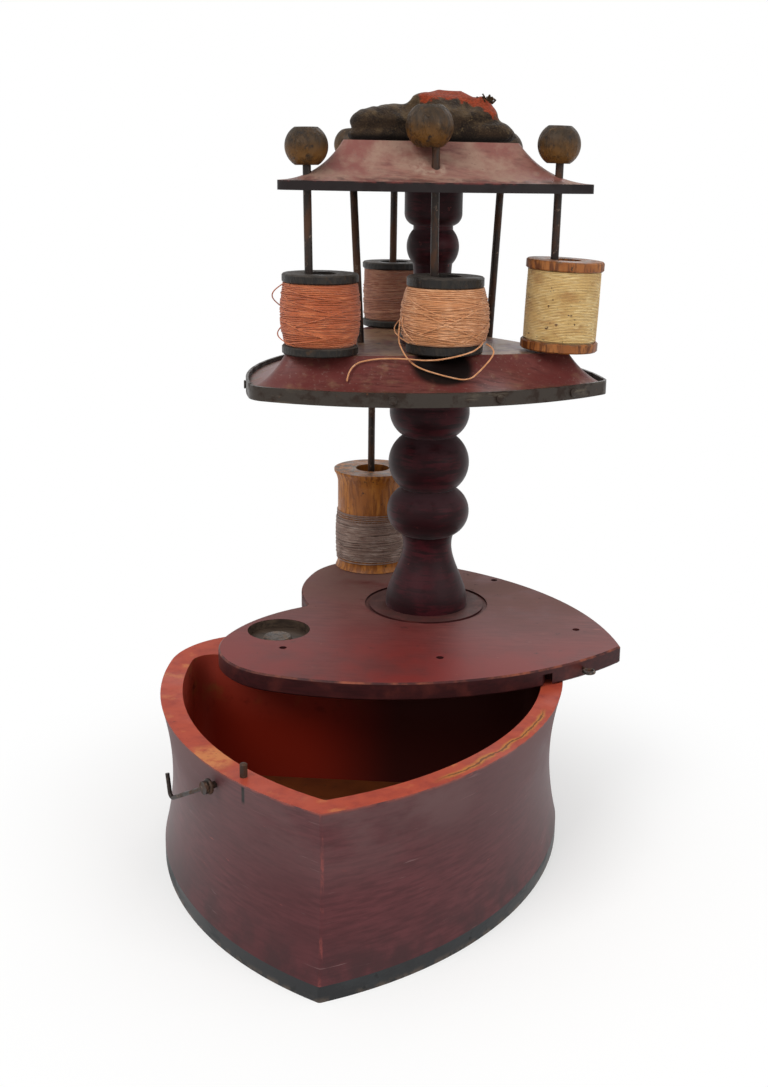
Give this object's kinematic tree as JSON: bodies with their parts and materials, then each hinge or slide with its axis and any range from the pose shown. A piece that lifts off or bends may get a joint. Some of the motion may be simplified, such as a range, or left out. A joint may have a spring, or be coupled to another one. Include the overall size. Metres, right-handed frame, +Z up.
{
  "type": "spool holder",
  "caption": "Antique painted wooden sewing stand: a heart-shaped box with a swinging lid that carries two tiers of thread spools on iron pins under a pincushion.",
  "frame": {"origin": "middle of the heart-shaped box on its underside", "axes": "+Z up, the tip of the heart towards -Y, +X to the right as seen from the tip"},
  "size_m": [0.1684, 0.247, 0.2711],
  "materials": {
    "box_paint": "worn red-brown paint on wood",
    "base_paint": "worn black paint on wood",
    "lid_paint": "worn dusty red paint on wood",
    "tier_paint": "worn dusty red paint on wood",
    "post_paint": "worn dark red paint on wood",
    "iron": "rusted iron wire",
    "band_iron": "dull rusted sheet iron",
    "peg_wood": "painted wood",
    "knob_wood": "darkened turned wood",
    "black_wood": "black stained wood",
    "pale_wood": "bare turned wood",
    "bobbin_wood": "bare turned wood",
    "orange_thread": "cotton thread",
    "peach_thread": "cotton thread",
    "pink_thread": "cotton thread",
    "cream_thread": "cotton thread",
    "grey_thread": "cotton thread",
    "cushion_cloth": "worn wool cloth"
  },
  "bodies": {
    "box": {"box_body": "box_paint", "base_board": "base_paint", "base_nails": "iron", "pivot_peg": "peg_wood", "rim_pin": "iron", "hook_nail": "iron"},
    "hook": {"lid_hook": "iron"},
    "lid": {"lid": "lid_paint", "lid_eye": "iron", "lower_post": "post_paint", "mid_tier": "tier_paint", "tier_band": "band_iron", "band_nails": "iron", "upper_post": "post_paint", "top_tier": "tier_paint", "pincushion": "cushion_cloth", "lower_spindle": "iron", "loose_end": "peach_thread", "loose_loop": "peach_thread"},
    "left_pin": {"left_spindle": "iron", "left_knob": "knob_wood"},
    "left_rear_pin": {"left_rear_spindle": "iron", "left_rear_knob": "knob_wood"},
    "rear_pin": {"rear_spindle": "iron", "rear_knob": "knob_wood"},
    "right_rear_pin": {"right_rear_spindle": "iron", "right_rear_knob": "knob_wood"},
    "right_pin": {"right_spindle": "iron", "right_knob": "knob_wood"},
    "front_pin": {"front_spindle": "iron", "front_knob": "knob_wood"},
    "left_bobbin": {"left_spool": "black_wood", "left_thread": "orange_thread"},
    "front_bobbin": {"front_spool": "black_wood", "front_thread": "peach_thread"},
    "rear_bobbin": {"rear_spool": "black_wood", "rear_thread": "pink_thread"},
    "right_bobbin": {"right_spool": "pale_wood", "right_thread": "cream_thread"},
    "lower_bobbin": {"lower_spool": "bobbin_wood", "lower_thread": "grey_thread"}
  },
  "joints": [
    {"name": "lid_swing", "type": "hinge", "parent": "box", "child": "lid", "pos_m": [-0.0355, 0.054, 0.06], "axis": [0, 0, 1], "range_deg": [-75.6, 104.4]},
    {"name": "hook_swing", "type": "hinge", "parent": "box", "child": "hook", "pos_m": [-0.03906, -0.04621, 0.0535], "axis": [-0.7157, -0.6984, 0], "range_deg": [-60, 174.5]},
    {"name": "left_lift", "type": "slide", "parent": "lid", "child": "left_pin", "axis": [-0.0173, 0.0009, 0.9999], "range_m": [0, 0.05]},
    {"name": "left_rear_lift", "type": "slide", "parent": "lid", "child": "left_rear_pin", "axis": [-0.0749, 0.1889, 0.9791], "range_m": [0, 0.05]},
    {"name": "rear_lift", "type": "slide", "parent": "lid", "child": "rear_pin", "axis": [0.0037, 0.0008, 1], "range_m": [0, 0.05]},
    {"name": "right_rear_lift", "type": "slide", "parent": "lid", "child": "right_rear_pin", "axis": [0.0489, -0.0003, 0.9988], "range_m": [0, 0.05]},
    {"name": "right_lift", "type": "slide", "parent": "lid", "child": "right_pin", "axis": [0.0156, -0.0005, 0.9999], "range_m": [0, 0.05]},
    {"name": "front_lift", "type": "slide", "parent": "lid", "child": "front_pin", "axis": [-0.0053, -0.0004, 1], "range_m": [0, 0.05]},
    {"name": "left_spin", "type": "hinge", "parent": "lid", "child": "left_bobbin", "pos_m": [-0.01976, 0.05948, 0.1748], "axis": [0, 0, 1], "continuous": true},
    {"name": "front_spin", "type": "hinge", "parent": "lid", "child": "front_bobbin", "pos_m": [0.02517, 0.07127, 0.1748], "axis": [0, 0, 1], "continuous": true},
    {"name": "rear_spin", "type": "hinge", "parent": "lid", "child": "rear_bobbin", "pos_m": [-0.00141, 0.14986, 0.1748], "axis": [0, 0, 1], "continuous": true},
    {"name": "right_spin", "type": "hinge", "parent": "lid", "child": "right_bobbin", "pos_m": [0.06804, 0.08412, 0.17542], "axis": [0.0419, 0, 0.9991], "continuous": true},
    {"name": "lower_spin", "type": "hinge", "parent": "lid", "child": "lower_bobbin", "pos_m": [-0.00968, 0.1486, 0.0669], "axis": [0, 0, 1], "continuous": true}
  ]
}
